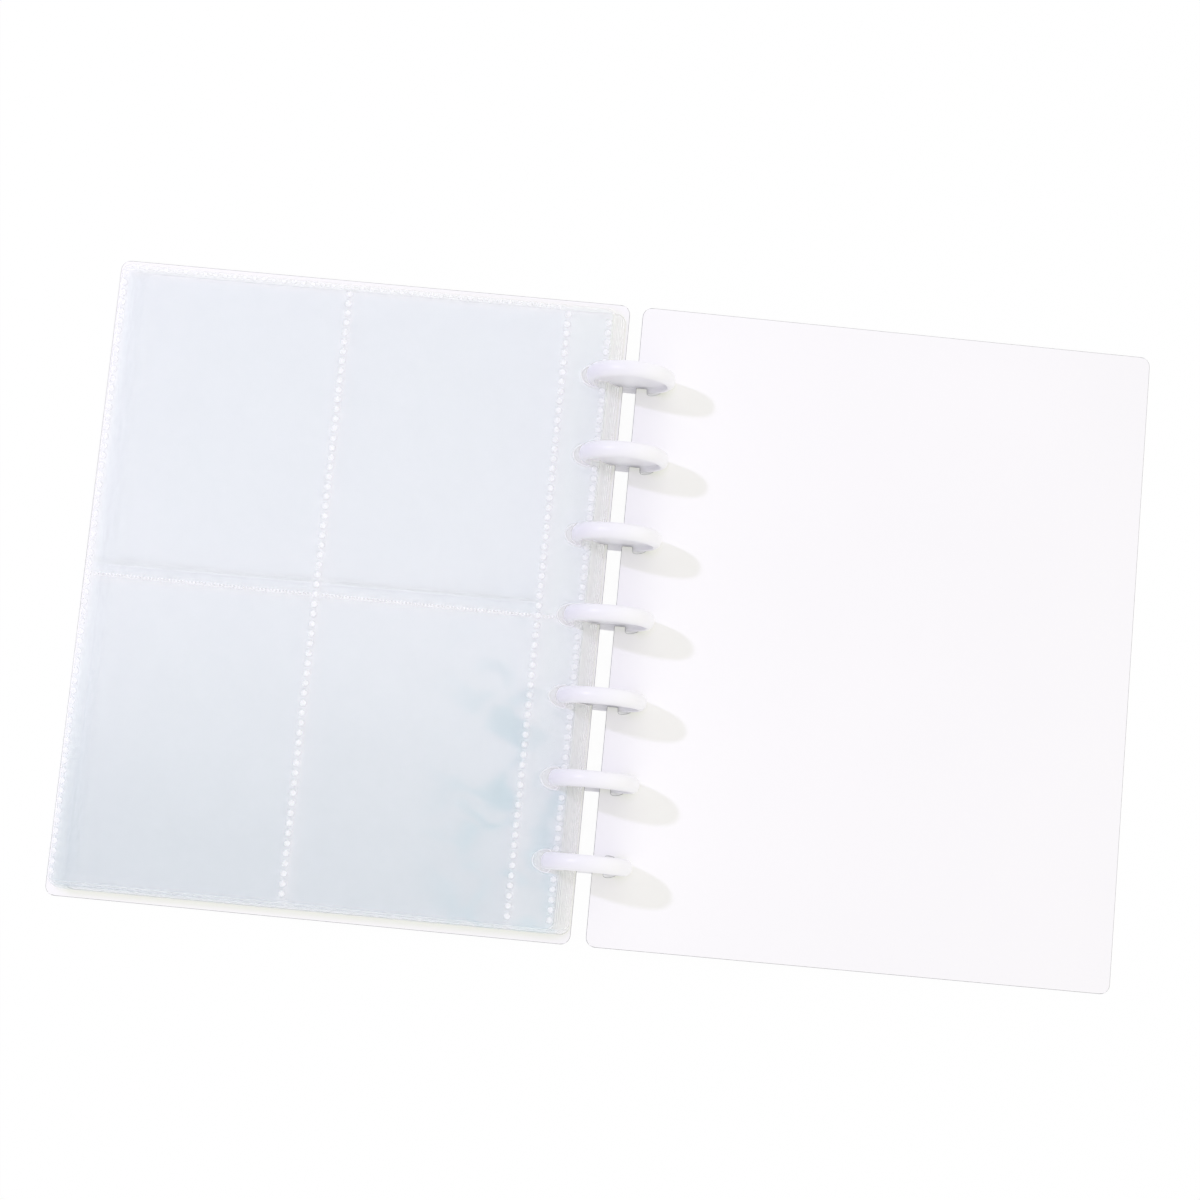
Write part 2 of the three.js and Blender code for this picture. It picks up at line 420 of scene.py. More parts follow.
def light_world():
    world = bpy.data.worlds.new("studio")
    bpy.context.scene.world = world
    graph = Graph(world)
    graph.nodes.clear()
    soft = graph.feed_all(graph.add("ShaderNodeBackground"), Color=sky_tint(graph), Strength=SKY_STRENGTH)
    white = shine_white(graph, "ShaderNodeBackground")
    surface = graph.mix_shaders(sees_white(graph), soft.outputs[0], white)
    graph.feed_all(graph.add("ShaderNodeOutputWorld"), Surface=surface)


def floor_openness(graph):
    """The glow of a place on the floor, by how far it is open to the sky."""
    open_sky = graph.add("ShaderNodeAmbientOcclusion", samples=16)
    graph.feed_all(open_sky, Distance=SLIT_DISTANCE)
    return graph.ramp(open_sky.outputs["AO"], *FLOOR_OPEN_SHARES, 0.0, FLOOR_OPEN_GLOW, "LINEAR")


def floor_material():
    material = bpy.data.materials.new("floor_white")
    graph = Graph(material)
    graph.nodes.clear()
    matte = graph.feed_all(graph.add("ShaderNodeBsdfDiffuse"), Color=FLOOR_COLOUR)
    glow = shine_white(graph, "ShaderNodeEmission")
    glowing = graph.math("MAXIMUM", sees_white(graph), FLOOR_GLOW)
    share = graph.math("MULTIPLY", glowing, floor_openness(graph))
    surface = graph.mix_shaders(share, matte.outputs[0], glow)
    graph.feed_all(graph.add("ShaderNodeOutputMaterial"), Surface=surface)
    return material


def add_floor():
    mesh = bpy.data.meshes.new("floor")
    corners = [(-FLOOR_HALF, -FLOOR_HALF), (FLOOR_HALF, -FLOOR_HALF),
               (FLOOR_HALF, FLOOR_HALF), (-FLOOR_HALF, FLOOR_HALF)]
    mesh.from_pydata([(x, y, -FLOOR_DROP) for x, y in corners], [], [(0, 1, 2, 3)])
    mesh.materials.append(floor_material())
    floor = add_object("floor", mesh)


# Materials

def principled(name, roughness):
    """A new material, its nodes and its shader."""
    material = bpy.data.materials.new(name)
    graph = Graph(material)
    shader = graph.feed_all(graph.nodes["Principled BSDF"], Roughness=roughness)
    return material, graph, shader


def add_grain(graph, shader, scale, detail, strength, distance):
    """A fine bump from noise."""
    bump = graph.add("ShaderNodeBump")
    graph.feed_all(bump, Strength=strength, Distance=distance, Height=graph.noise(scale, detail))
    graph.feed_all(shader, Normal=bump.outputs["Normal"])


def disc_material():
    material, graph, shader = principled("disc_plastic", roughness=0.32)
    tone = graph.drift(scale=60, first=(0.90, 0.895, 0.945), second=(0.925, 0.92, 0.955))
    graph.feed_all(shader, Base_Color=tone)
    add_grain(graph, shader, scale=900, detail=4, strength=0.08, distance=0.02 * MM)
    return material


def shade_near_others(graph, plain):
    """The plain colour, with a beige shade painted where other pieces come near; fully covered places stay
    plain.
    """
    near_by = graph.add("ShaderNodeAmbientOcclusion", samples=6)
    graph.feed_all(near_by, Distance=SHADE_DISTANCE)
    open_share = near_by.outputs["AO"]
    shade = graph.math("MULTIPLY", graph.ramp(open_share, *COVERED_SHARES),
                       graph.ramp(open_share, *OPEN_SHARES, 1.0, 0.0))
    return graph.blend(shade, plain, COVER_SHADE)


def cover_material():
    material, graph, shader = principled("cover_plastic", roughness=0.5)
    plain = graph.drift(scale=9, first=(0.945, 0.94, 0.952), second=(0.958, 0.952, 0.964))
    # Painted shade: the cover's colour turns beige where other pieces come near
    graph.feed_all(shader, Base_Color=shade_near_others(graph, plain))
    add_grain(graph, shader, scale=2600, detail=2, strength=0.25, distance=0.03 * MM)
    return material


def cover_edge_shade_material():
    """The cut edges of the covers, painted dark grey, which show as a thin line of shade along the outline.
    """
    material, graph, shader = principled("cover_edge_shade", roughness=0.5)
    # Painted shade: a near-black colour for the cut edges
    graph.feed_all(shader, Base_Color=(0.16, 0.16, 0.17))
    return material


def see_through(graph, shader, haze, edge_haze, more_haze=None):
    """Lets light pass but for a little milk, which grows where the film is seen flat. Back faces stay
    clear, so that a film hazes only once, and so do shadow rays."""
    path = graph.add("ShaderNodeLightPath")
    shadow = path.outputs["Is Shadow Ray"]
    clear = graph.add("ShaderNodeBsdfTransparent")
    graph.feed_all(clear, Color=graph.blend(shadow, WHITE, (SHADE_LEFT, SHADE_LEFT, SHADE_LEFT)))
    facing = graph.feed_all(graph.add("ShaderNodeLayerWeight"), Blend=HAZE_BLEND)
    milk = graph.ramp(facing.outputs["Facing"], 0, 1, haze, edge_haze)
    if more_haze is not None:
        milk = graph.math("ADD", milk, more_haze)
    side = graph.add("ShaderNodeNewGeometry")
    clear_side = graph.math("MAXIMUM", side.outputs["Backfacing"], shadow)
    share = graph.math("MULTIPLY", milk, graph.math("SUBTRACT", 1.0, clear_side))
    surface = graph.mix_shaders(share, clear.outputs[0], shader.outputs[0])
    graph.feed_all(graph.nodes["Material Output"], Surface=surface)


def film_material(name, colour, haze, edge_haze, roughness):
    material, graph, shader = principled(name, roughness)
    graph.feed_all(shader, Base_Color=colour)
    see_through(graph, shader, haze, edge_haze)
    return material


def stack_tone(graph, x, y):
    """The film's tone over the leaf: bluish, with painted shade that deepens it towards the foot and patches
    of painted reflection low down by the spine.
    """
    clouds = graph.noise(scale=16, detail=3, distortion=0.6)
    # Painted shade: the film's tone deepens towards the foot, wavering with the noise
    drift = graph.math("MULTIPLY_ADD", clouds, FOOT_SHADE_DRIFT, y)
    tone = graph.blend(graph.ramp(drift, *FOOT_SHADE_FROM_TO), FILM_LIGHT, FILM_FOOT_SHADE)
    # Painted reflection: deeper blue patches, low down and near the spine
    patches = graph.ramp(graph.noise(scale=84, detail=2, distortion=1.2), *REFLECTION_PATCH_EDGE)
    lower_inner = graph.math("MULTIPLY", graph.ramp(y, *REFLECTION_PATCH_DOWN), graph.ramp(x, *REFLECTION_PATCH_OUT, 1.0, 0.0))
    return graph.blend(graph.math("MULTIPLY", patches, lower_inner), tone, FILM_REFLECTION_PATCH)


def whiten_welds_and_paint_light(graph, x, y, tone):
    """The tone, whiter along the welds, with painted light in the binding strip and on the upper part of the
    outer seam.
    """
    # Painted light: the binding strip is lighter, more towards the head
    strip = graph.math("MULTIPLY", graph.ramp(x, *STRIP_END, 1.0, 0.0),
                       graph.ramp(y, *STRIP_DOWN, *STRIP_SHARES))
    tone = graph.blend(strip, tone, FILM_STRIP_PAINTED_LIGHT)
    welds = [(x, BINDING_STRIP), (x, MIDDLE_SEAM), (x, EDGE_SEAM_INSET), (y, HEAD_SEAM), (y, LEVEL_SEAM)]
    distances = [graph.math("ABSOLUTE", graph.math("SUBTRACT", place, line)) for place, line in welds]
    nearest = distances[0]
    for distance in distances[1:]:
        nearest = graph.math("MINIMUM", nearest, distance)
    tone = graph.blend(graph.ramp(nearest, *SEAM_BLUR, SEAM_SHARE, 0.0), tone, WELD_WHITE_AND_PAINTED_LIGHT)
    # Painted light: the upper part of the outer seam is whiter
    outer = graph.math("MULTIPLY", graph.ramp(x, OUTER_SEAM - OUTER_SEAM_BLUR, OUTER_SEAM),
                       graph.ramp(y, *OUTER_SEAM_DOWN, OUTER_SEAM_SHARE, 0.0))
    return graph.blend(outer, tone, WELD_WHITE_AND_PAINTED_LIGHT)


def paint_shade_at_binding_edge(graph, x, y, tone):
    """The tone, with painted shade at the spine: the greyish margin that the leaves show in steps there,
    darker towards the foot.
    """
    # Painted shade: the margin at the spine greys, darker towards the foot
    margin = graph.blend(graph.ramp(y, HEAD, FOOT), MARGIN_SHADE_HEAD, MARGIN_SHADE_FOOT)
    return graph.blend(graph.ramp(x, *MARGIN_END, 1.0, 0.0), tone, margin)


def clear_film_material():
    material, graph, shader = principled("clear_film", roughness=0.14)
    x, y = graph.split(graph.own_place())
    margin = graph.ramp(x, OUTER_SEAM - MARGIN_HAZE_WIDTH, OUTER_SEAM, 0.0, MARGIN_HAZE)
    see_through(graph, shader, *CLEAR_HAZE, margin)
    tone = whiten_welds_and_paint_light(graph, x, y, stack_tone(graph, x, y))
    graph.feed_all(shader, Base_Color=paint_shade_at_binding_edge(graph, x, y, tone))
    return material


def leaf_materials():
    """The materials of a leaf, by the names that its meshes ask for."""
    # The white of the welds, which also serves as a painted highlight on the top leaf's notch edges
    weld_and_highlight = film_material("weld_and_highlight", (0.96, 0.965, 0.98), haze=0.62, edge_haze=0.62, roughness=0.4)
    faint = film_material("faint_weld", (0.93, 0.94, 0.965), haze=0.07, edge_haze=0.12, roughness=0.3)
    # Painted shade: a darker ring round each coarse weld dot
    crease_shade = film_material("crease_shade", (0.72, 0.77, 0.83), haze=0.14, edge_haze=0.3, roughness=0.3)
    # Painted highlight: a whiter band along the films' cut edges and notches
    edge = film_material("film_edge_highlight", (0.93, 0.93, 0.92), haze=0.34, edge_haze=0.6, roughness=0.2)
    # Painted shade: darker side walls, and a dark band on the lowest back film's outer edges
    rim = film_material("film_rim_shade", (0.62, 0.63, 0.60), haze=0.45, edge_haze=0.45, roughness=0.3)
    return {"film": clear_film_material(), "weld_and_highlight": weld_and_highlight, "faint": faint, "crease_shade": crease_shade,
            "edge": edge, "rim": rim}


# Outlines

def inset(loop, distance):
    """The loop moved inwards by a distance, with mitred corners; it runs counterclockwise."""
    moved = []
    for (ax, ay), (bx, by), (cx, cy) in zip(loop[-1:] + loop[:-1], loop, loop[1:] + loop[:1]):
        before, after = math.dist((ax, ay), (bx, by)), math.dist((bx, by), (cx, cy))
        ux, uy, vx, vy = (bx - ax) / before, (by - ay) / before, (cx - bx) / after, (cy - by) / after
        scale = distance / (1 + ux * vx + uy * vy)
        moved.append((bx - (uy + vy) * scale, by + (ux + vx) * scale))
    return moved


def arc(x, y, radius_x, radius_y, start, end, steps):
    points = []
    for i in range(steps + 1):
        angle = start + (end - start) * i / steps
        points.append((x + radius_x * math.cos(angle), y + radius_y * math.sin(angle)))
    return points


def circle(x, y, radius, count):
    return arc(x, y, radius, radius, 0, 2 * math.pi, count)[:-1]


def disc_y(index):
    return (index - (DISC_COUNT - 1) / 2) * DISC_PITCH


def notch(y):
    """One mushroom notch in the binding edge at x = 0, walked from high y to low y."""
    cap_start = NECK_LENGTH + CAP_CHAMFER
    upper = [(0, y + NECK_HALF)]
    upper += [(NECK_LENGTH * k / 3, y + NECK_HALF) for k in (1, 2)]
    upper += [(NECK_LENGTH, y + NECK_HALF), (NECK_LENGTH, y + CAP_HALF - CAP_CHAMFER)]
    shoulder = arc(cap_start, y + CAP_HALF - CAP_CHAMFER, CAP_CHAMFER, CAP_CHAMFER,
                   math.pi, math.pi / 2, steps=4)[1:-1]
    dome = arc(cap_start, y, NOTCH_DEPTH - cap_start, CAP_HALF, math.pi / 2, -math.pi / 2, steps=16)
    mirrored = [(x, 2 * y - v) for x, v in reversed(upper + shoulder)]
    return upper + shoulder + dome + mirrored


def walk(points, longest):
    """The closed outline, with stretches longer than that split evenly."""
    split = []
    for (x, y), (next_x, next_y) in zip(points, points[1:] + points[:1]):
        steps = max(1, math.ceil(math.dist((x, y), (next_x, next_y)) / longest))
        for k in range(steps):
            split.append((x + (next_x - x) * k / steps, y + (next_y - y) * k / steps))
    return split


def sheet_outline(width, low, high, corner, longest):
    """A sheet with rounded corners and the notches in its binding edge."""
    quarter = math.pi / 2
    rounds = ((corner, low + corner, -2), (width - corner, low + corner, -1),
              (width - corner, high - corner, 0), (corner, high - corner, 1))
    points = []
    for x, y, turn in rounds:
        points += arc(x, y, corner, corner, turn * quarter, (turn + 1) * quarter, steps=6)
    for index in reversed(range(DISC_COUNT)):
        points += notch(disc_y(index))
    return walk(points, longest)


def inside(point, loop):
    x, y = point
    within = False
    for (ax, ay), (bx, by) in zip(loop, loop[1:] + loop[:1]):
        if (ay > y) != (by > y) and x < ax + (bx - ax) * (y - ay) / (by - ay):
            within = not within
    return within


def near(points):
    """A lookup that says whether a place lies within a distance of any of the points."""
    cells = {}
    for p in points:
        cells.setdefault((round(p[0] / LOOKUP_CELL), round(p[1] / LOOKUP_CELL)), []).append(p)

    def close(place, distance):
        column, row = round(place[0] / LOOKUP_CELL), round(place[1] / LOOKUP_CELL)
        span = range(-math.ceil(distance / LOOKUP_CELL) - 1, math.ceil(distance / LOOKUP_CELL) + 2)
        around = (p for i in span for j in span for p in cells.get((column + i, row + j), ()))
        return any(math.dist(p, place) < distance for p in around)
    return close


def spread(first, last, pitch):
    """Even places between two ends, about a pitch apart and half a pitch from the ends."""
    count = max(1, round((last - first) / pitch))
    return [first + (last - first) * (k + 0.5) / count for k in range(count)]


def inner_points(outline, marks, spacing, margin):
    """Even points inside an outline, kept off the marks and the outline."""
    close = near(outline + marks)
    xs = [p[0] for p in outline]
    ys = [p[1] for p in outline]
    points = []
    across = int((max(xs) - min(xs)) / spacing)
    along = int((max(ys) - min(ys)) / spacing)
    for i in range(1, across):
        for j in range(1, along):
            x = min(xs) + (max(xs) - min(xs)) * i / across
            y = min(ys) + (max(ys) - min(ys)) * (j + 0.5 * (i % 2)) / along
            if not close((x, y), margin) and inside((x, y), outline):
                points.append((x, y))
    return points


# Sheets

def triangulate(outline, holes, creases, extra, kinds):
    """The points and triangles of a sheet seen from above, each triangle with the kind at its middle."""
    points, edges = [], []
    for loop in [outline] + holes + creases:
        start = len(points)
        points += loop
        edges += [(start + i, start + (i + 1) % len(loop)) for i in range(len(loop))]
    points = points + extra
    net = delaunay_2d_cdt([Vector(p) for p in points], edges, [], INSIDE_ONLY, MERGE_DISTANCE)
    flat, faces = net[0], net[2]
    kept = []
    for face in faces:
        a, b, c = (flat[i] for i in face)
        middle = ((a.x + b.x + c.x) / 3, (a.y + b.y + c.y) / 3)
        if any(inside(middle, hole) for hole in holes) or not inside(middle, outline):
            continue
        turned = (b - a).cross(c - a) < 0
        kept.append((tuple(reversed(face)) if turned else tuple(face), kinds(middle)))
    used = sorted({i for face, _ in kept for i in face})
    place = {old: new for new, old in enumerate(used)}
    return [(flat[i].x, flat[i].y) for i in used], [([place[i] for i in face], kind) for face, kind in kept]


def plate(name, flat, faces, low, high, materials, smooth_shaded=True):
    """A closed sheet between two height functions; the last material is that of its side walls."""
    count = len(flat)
    verts = [(x, y, high(x, y)) for x, y in flat] + [(x, y, low(x, y)) for x, y in flat]
    polygons, slots, borders = [], [], {}
    for top, kind in faces:
        polygons += [top, [i + count for i in reversed(top)]]
        slots += [kind, kind]
        for a, b in zip(top, top[1:] + top[:1]):
            if (b, a) in borders:
                del borders[(b, a)]
            else:
                borders[(a, b)] = True
    for a, b in borders:
        polygons.append([b, a, a + count, b + count])
        slots.append(len(materials) - 1)
    mesh = bpy.data.meshes.new(name)
    mesh.from_pydata(verts, [], polygons)
    for material in materials:
        mesh.materials.append(material)
    mesh.polygons.foreach_set("material_index", slots)
    mesh.polygons.foreach_set("use_smooth", [smooth_shaded] * len(polygons))
    mesh.update()
    return mesh


def place_sheet(name, mesh, left, edge, height, body, slot, cad_node, slip):
    """Hangs a sheet on the disc axis, sloping down to the table on the left or the right."""
    piece = add_object(name, mesh)
    turn = Matrix.Rotation(math.pi if left else 0, 4, "Z")
    slope = Matrix.Rotation(SHEET_TILT, 4, "Y")
    piece.matrix_world = (Matrix.Translation((0, 0, AXIS_HEIGHT)) @ turn @ slope
                          @ slip @ Matrix.Translation((edge, 0, height)))
    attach(piece, body)
    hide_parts(cad_node)
    return piece


# Shape of a leaf

def off_seams(x):
    """Distance from the nearest upright seam."""
    return min(abs(x - seam) for seam in SEAMS_X)


def weld_dots():
    """Centres and radii of the dots: upright seams, binding edge, head and level seam."""
    dots = []
    for x in (BINDING_STRIP, MIDDLE_SEAM, OUTER_SEAM + OUTER_DOTS_SHIFT):
        for y in spread(HEAD + DOT_PITCH / 2, FILM_FOOT - DOT_PITCH / 2, DOT_PITCH):
            dots.append((x, y, DOT_RADIUS))
    for y in spread(HEAD + DOT_PITCH, FILM_FOOT - DOT_PITCH / 2, DOT_PITCH):
        from_notch = abs((y / DISC_PITCH + 0.5) % 1 - 0.5) * DISC_PITCH
        if from_notch > NECK_HALF + NECK_TO_DOT:
            dots.append((EDGE_SEAM_INSET, y, DOT_RADIUS))
    for x in spread(BINDING_STRIP + DOT_PITCH / 2, OUTER_SEAM - DOT_PITCH / 2, DOT_PITCH):
        dots.append((x, HEAD + HEAD_DOTS_INSET, HEAD_DOT_RADIUS))
    for x in spread(NOTCH_DEPTH + NOTCH_TO_FINE_DOT, OUTER_SEAM - DOT_PITCH / 2, FINE_DOT_PITCH):
        if off_seams(x) > SEAM_TO_FINE_DOT:
            dots.append((x, LEVEL_SEAM, FINE_DOT_RADIUS))
    return dots


def dot_lookup(dots):
    """A lookup that gives a place's distance from the nearest dot's centre, and that dot's radius."""
    cells = {}
    for dot in dots:
        cells.setdefault((round(dot[0] / DOT_PITCH), round(dot[1] / DOT_PITCH)), []).append(dot)

    def nearest(x, y):
        found = [(math.dist((x, y), dot[:2]), dot[2]) for i in (-1, 0, 1) for j in (-1, 0, 1)
                 for dot in cells.get((round(x / DOT_PITCH) + i, round(y / DOT_PITCH) + j), ())]
        return min(found, default=(FAR_FROM_DOTS, DOT_RADIUS))
    return nearest


def smooth(value):
    share = min(1.0, max(0.0, value))
    return share * share * (3 - 2 * share)


def on_pockets(x, y):
    return BINDING_STRIP <= x <= OUTER_SEAM and y >= HEAD_SEAM


def panel_rise(x, y):
    """0 on the seams and in the binding strip, 1 on the pockets."""
    if not on_pockets(x, y):
        return 0.0
    nearest = min(off_seams(x), abs(y - LEVEL_SEAM), abs(y - HEAD_SEAM))
    return smooth((nearest - SEAM_WIDTH / 2) / SEAM_RAMP)


def puff(x, y):
    """How far a pocket stands up between its seams, from 0 to 1."""
    if not on_pockets(x, y):
        return 0.0
    left, right = (BINDING_STRIP, MIDDLE_SEAM) if x < MIDDLE_SEAM else (MIDDLE_SEAM, OUTER_SEAM)
    across = (x - left) / (right - left)
    if y < LEVEL_SEAM:
        along = (y - HEAD_SEAM) / (LEVEL_SEAM - HEAD_SEAM)
    else:
        along = (y - LEVEL_SEAM) / (FILM_FOOT - LEVEL_SEAM) * OPEN_SIDE_SHARE
    rise = max(0.0, math.sin(math.pi * across)) * max(0.0, math.sin(math.pi * min(1.0, along)))
    return rise ** PUFF_POWER


def wave(x, y):
    """Slow waves of a film that has lain in a stack, about -1 to 1, and none by the binding edge."""
    across = math.sin(x / WAVE_ACROSS + 1.3 * math.sin(y / BEND_ACROSS))
    along = math.sin(y / WAVE_ALONG + 0.9 + 1.1 * math.sin(x / BEND_ALONG + 0.7))
    aslant = math.sin((x * 0.8 + y * 0.6) / WAVE_ASLANT + 2.1)
    return (0.45 * across + 0.4 * along + 0.15 * aslant) * smooth((x - WAVE_START) / WAVE_START_RAMP)


def back_height(x, y):
    return WAVE * wave(x, y)


def pocket_height(x, y):
    step = WELD_GAP + (POCKET_GAP - WELD_GAP) * panel_rise(x, y)
    return back_height(x, y) + FILM_THICKNESS + step + PUFF * puff(x, y)


def dot_rings(dots):
    """The points that shape the dots: a dome, and on the coarse ones the ring that bounds the painted crease
    shade round it.
    """
    points = []
    for x, y, radius in dots:
        points += [(x, y)] + circle(x, y, radius * DOT_INNER_RING, DOT_INNER_POINTS)
        points += circle(x, y, radius, DOT_RING_POINTS)
        if radius > FINE_DOT_RADIUS:
            points += circle(x, y, radius + CREASE_WIDTH, DOT_RING_POINTS)
    return points


def seam_rows():
    """Points that carry the step from the seams up to the pockets."""
    level = spread(BINDING_STRIP + SEAM_POINT_CLEARANCE, OUTER_SEAM - SEAM_POINT_CLEARANCE,
                   SEAM_POINT_SPACING)
    upright = spread(HEAD_SEAM + SEAM_POINT_CLEARANCE, FILM_FOOT - FOOT_POINT_CLEARANCE, SEAM_POINT_SPACING)
    rows = []
    for offset in (SEAM_WIDTH / 2, SEAM_WIDTH / 2 + SEAM_RAMP):
        for y in (HEAD_SEAM + offset, LEVEL_SEAM - offset, LEVEL_SEAM + offset):
            rows += [(x, y) for x in level if off_seams(x) > SEAM_POINT_CLEARANCE]
    for x in SEAMS_X:
        for sign in (-1, 1):
            column = x + sign * (SEAM_WIDTH / 2 + SEAM_RAMP)
            if BINDING_STRIP < column < OUTER_SEAM:
                rows += [(column, y) for y in upright]
    return rows


def mouth_slits():
    """The slit mouths of the upper pockets."""
    slits = []
    for seam, following in zip(SEAMS_X, SEAMS_X[1:]):
        left, right = seam + SEAM_WIDTH / 2, following - SEAM_WIDTH / 2
        top, low = MOUTH - MOUTH_SLIT / 2, MOUTH + MOUTH_SLIT / 2
        slits.append(walk([(left, top), (right, top), (right, low), (left, low)], FILM_OUTLINE_STEP))
    return slits


def rim_kind(place, binding, outer, notches):
    """Which edge a place of the rim belongs to: the binding edge, a notch or one of the outer three."""
    x, y = place
    if x > BINDING_STRIP or y < HEAD + BINDING_EDGE_START or y > FILM_FOOT - BINDING_EDGE_END:
        return outer
    return notches if x > NOTCH_START else binding


def pocket_film_sheet(dots, nearest):
    """The pocket film seen from above, with its slit mouths and the points of its dots and seams."""
    outline = sheet_outline(LEAF_WIDTH, HEAD, FILM_FOOT, LEAF_CORNER, FILM_OUTLINE_STEP)
    rim = inset(outline, EDGE_BAND)
    slits = mouth_slits()
    slit_points = [p for slit in slits for p in slit]
    marks = dot_rings(dots) + [p for p in seam_rows() if nearest(*p)[0] > DOT_RADIUS + 2 * CREASE_WIDTH]
    points = [p for p in marks if inside(p, rim)]
    points += inner_points(rim, points + slit_points, FILM_SPACING, FILM_POINT_CLEARANCE)
    on_slit = near(slit_points)
    points = [p for p in points if not on_slit(p, SLIT_CLEARANCE)]

    def kinds(middle):
        distance, radius = nearest(*middle)
        if not inside(middle, rim):
            return rim_kind(middle, BINDING_EDGE, OUTER_EDGE, NOTCH_EDGE)
        if distance < radius:
            return ROW_WELD if middle[0] < BINDING_STRIP / 2 else WELD
        # Painted shade: the ring round a coarse dot takes the crease shade
        return CREASE_SHADE if radius > FINE_DOT_RADIUS and distance < radius + CREASE_WIDTH else FILM

    return triangulate(outline, slits, [rim], points, kinds)


def back_film_sheet():
    """The back film seen from above."""
    outline = sheet_outline(LEAF_WIDTH, HEAD, FOOT, LEAF_CORNER, FILM_OUTLINE_STEP)
    rim = inset(outline, EDGE_BAND)

    def kinds(middle):
        return BACK_FILM if inside(middle, rim) else rim_kind(middle, BACK_EDGE, BACK_OUTER_EDGE, BACK_EDGE)

    return triangulate(outline, [], [rim], inner_points(rim, [], BACK_SPACING, BACK_POINT_CLEARANCE), kinds)


# Pieces

def leaf_slip(index):
    """A leaf lies a little askew in its notches, the more the higher it lies in the stack."""
    share = (index / (LEAF_COUNT - 1)) ** SLIP_POWER
    wobble = SLIP_WOBBLE * math.sin(SLIP_WOBBLE_STEP * index)
    turn = Matrix.Rotation(-(SLIP_TURN * share + wobble), 4, "Z")
    return Matrix.Translation((SLIP_OUT * share, SLIP_TO_FOOT, 0)) @ turn


def add_leaves(materials):
    """The stack of leaves; those between the lowest and the top one share meshes with flattened welds."""
    dots = weld_dots()
    nearest = dot_lookup(dots)
    film_sheet = pocket_film_sheet(dots, nearest)
    back_sheet = back_film_sheet()

    def dome(x, y):
        distance, radius = nearest(x, y)
        return radius / DOT_RADIUS * math.sqrt(max(0.0, 1 - (distance / radius) ** 2))

    def pocket_mesh(name, rise, *kinds):
        return plate(name, *film_sheet, pocket_height,
                     lambda x, y: pocket_height(x, y) + FILM_THICKNESS + rise * dome(x, y),
                     [materials[kind] for kind in kinds])

    def back_mesh(name, *kinds):
        return plate(name, *back_sheet, back_height, lambda x, y: back_height(x, y) + FILM_THICKNESS,
                     [materials[kind] for kind in kinds])

    # The edge bands carry painted highlight and the side walls painted shade; the top leaf's notch edges
    # take the weld white as painted highlight
    top_pockets = pocket_mesh("top_leaf_pockets", DOT_RISE,
                              "film", "weld_and_highlight", "crease_shade", "weld_and_highlight", "edge", "edge", "weld_and_highlight", "rim")
    inner_pockets = pocket_mesh("inner_leaf_pockets", PRESSED_DOT_RISE,
                                "film", "faint", "faint", "faint", "edge", "film", "edge", "rim")
    lowest_pockets = pocket_mesh("lowest_leaf_pockets", DOT_RISE,
                                 "film", "faint", "faint", "weld_and_highlight", "edge", "film", "edge", "rim")
    inner_back = back_mesh("leaf_back", "film", "edge", "film", "rim")
    lowest_back = back_mesh("lowest_leaf_back", "film", "edge", "rim", "rim")
    for index in range(LEAF_COUNT):
        leaf = f"leaf_{index + 1:02d}"
        height = leaf_bottom(index)
        place = (True, binding_edge(height), height, leaf, "clear_film")
        back = place_sheet(f"{leaf}_back", inner_back if index else lowest_back,
                           *place, f"{leaf}_back_film", leaf_slip(index))
        film = {0: lowest_pockets, LEAF_COUNT - 1: top_pockets}.get(index, inner_pockets)
        pockets = place_sheet(f"{leaf}_pockets", film, *place, f"{leaf}_pocket_film", leaf_slip(index))
        # Clear film hardly dims what lies under it: both films let soft light pass, and one casts no shadow
        back.visible_diffuse = False
        pockets.visible_diffuse = False
        pockets.visible_shadow = False


def bevel(piece):
    """Rounds the cut edges, which take the piece's second material, the painted edge shade."""
    modifier = piece.modifiers.new("edge", "BEVEL")
    modifier.width = COVER_BEVEL
    modifier.segments = COVER_BEVEL_SEGMENTS
    modifier.limit_method = "ANGLE"
    modifier.angle_limit = COVER_BEVEL_ANGLE
    modifier.material = 1


def add_covers(material, edge_shade_material):
    outline = sheet_outline(COVER_WIDTH, -COVER_HALF, COVER_HALF, COVER_CORNER, COVER_OUTLINE_STEP)
    points = inner_points(outline, [], COVER_SPACING, COVER_POINT_CLEARANCE)
    sheet = triangulate(outline, [], [], points, lambda middle: 0)
    askew = Matrix.Translation((COVER_SLIP_OUT, 0, 0)) @ Matrix.Rotation(-COVER_SLIP_TURN, 4, "Z")
    for name, left, slip in (("back_cover", True, askew), ("front_cover", False, Matrix())):
        mesh = plate(f"{name}_sheet", *sheet, lambda x, y: 0.0, lambda x, y: COVER_THICKNESS, [material],
                     smooth_shaded=False)
        mesh.materials.append(edge_shade_material)
        piece = place_sheet(f"{name}_sheet", mesh, left, COVER_EDGE, COVER_BOTTOM,
                            name, "cover_plastic", name, slip)
        bevel(piece)


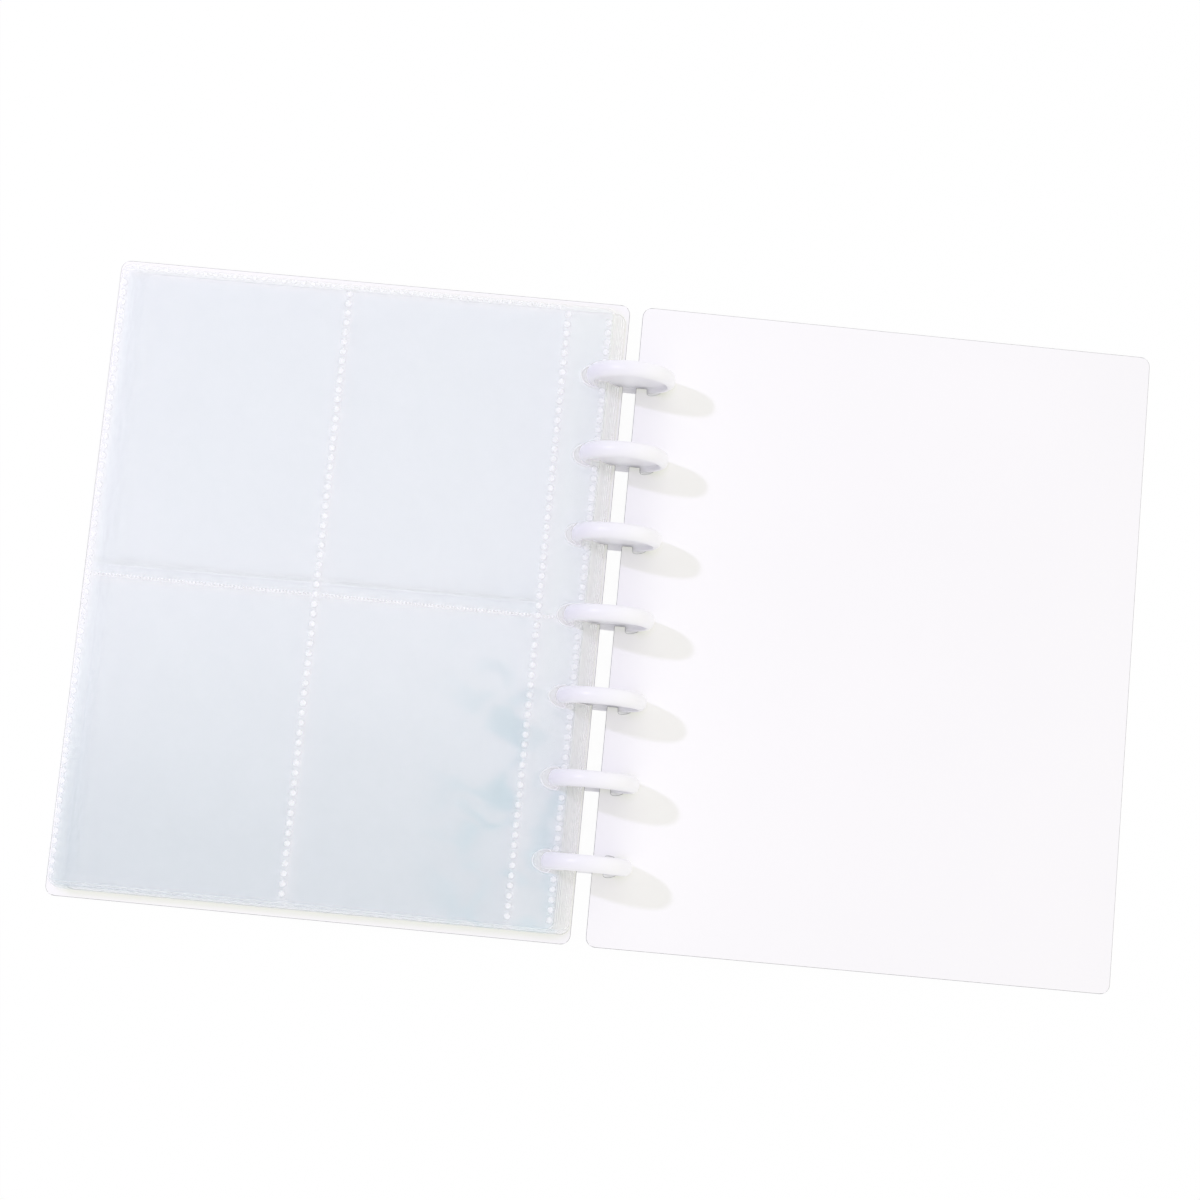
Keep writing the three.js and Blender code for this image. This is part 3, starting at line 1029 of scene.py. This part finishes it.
def disc_profile():
    """Half section from the axis out, upper side only: web, fillet, rim shoulder and rounded bead."""
    half = WEB_THICKNESS / 2
    corner = RIM_INNER_RADIUS + RIM_CORNER
    points = [(0.0, half), (RIM_INNER_RADIUS / 2, half)]
    points += arc(RIM_INNER_RADIUS - WEB_FILLET, half + WEB_FILLET, WEB_FILLET, WEB_FILLET,
                  -math.pi / 2, 0, steps=5)
    points += arc(corner, RIM_WIDTH / 2 - RIM_CORNER, RIM_CORNER, RIM_CORNER, math.pi, SHOULDER_END, steps=4)
    points += arc(corner, 0, RIM_DEPTH - RIM_CORNER, RIM_WIDTH / 2, BEAD_START, 0, steps=12)
    return points


def disc_mesh(material):
    """The profile turned about the disc's axis, which runs along y."""
    upper = disc_profile()
    profile = upper + [(radius, -y) for radius, y in reversed(upper[:-1])]
    rings = profile[1:-1]
    verts = [(0.0, profile[0][1], 0.0), (0.0, profile[-1][1], 0.0)]
    for radius, y in rings:
        for k in range(DISC_STEPS):
            angle = 2 * math.pi * k / DISC_STEPS
            verts.append((radius * math.cos(angle), y, radius * math.sin(angle)))
    faces = []
    last_ring = 2 + (len(rings) - 1) * DISC_STEPS
    for k in range(DISC_STEPS):
        after = (k + 1) % DISC_STEPS
        faces.append((0, 2 + after, 2 + k))
        faces.append((1, last_ring + k, last_ring + after))
        for ring in range(2, last_ring, DISC_STEPS):
            following = ring + DISC_STEPS
            faces.append((ring + k, ring + after, following + after, following + k))
    mesh = bpy.data.meshes.new("disc")
    mesh.from_pydata(verts, [], faces)
    mesh.materials.append(material)
    mesh.polygons.foreach_set("use_smooth", [True] * len(faces))
    mesh.update()
    return mesh


def add_discs(material):
    mesh = disc_mesh(material)
    for index in range(DISC_COUNT):
        name = f"disc_{index + 1}"
        piece = add_object(f"{name}_moulding", mesh)
        piece.location = (0, -disc_y(index), AXIS_HEIGHT)
        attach(piece, name)
        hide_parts(name)


scene = bpy.context.scene
scene.view_settings.view_transform = "Standard"
scene.cycles.transparent_max_bounces = TRANSPARENT_BOUNCES

add_camera()
light_world()
add_floor()
add_key_light()
add_leaves(leaf_materials())
add_covers(cover_material(), cover_edge_shade_material())
add_discs(disc_material())
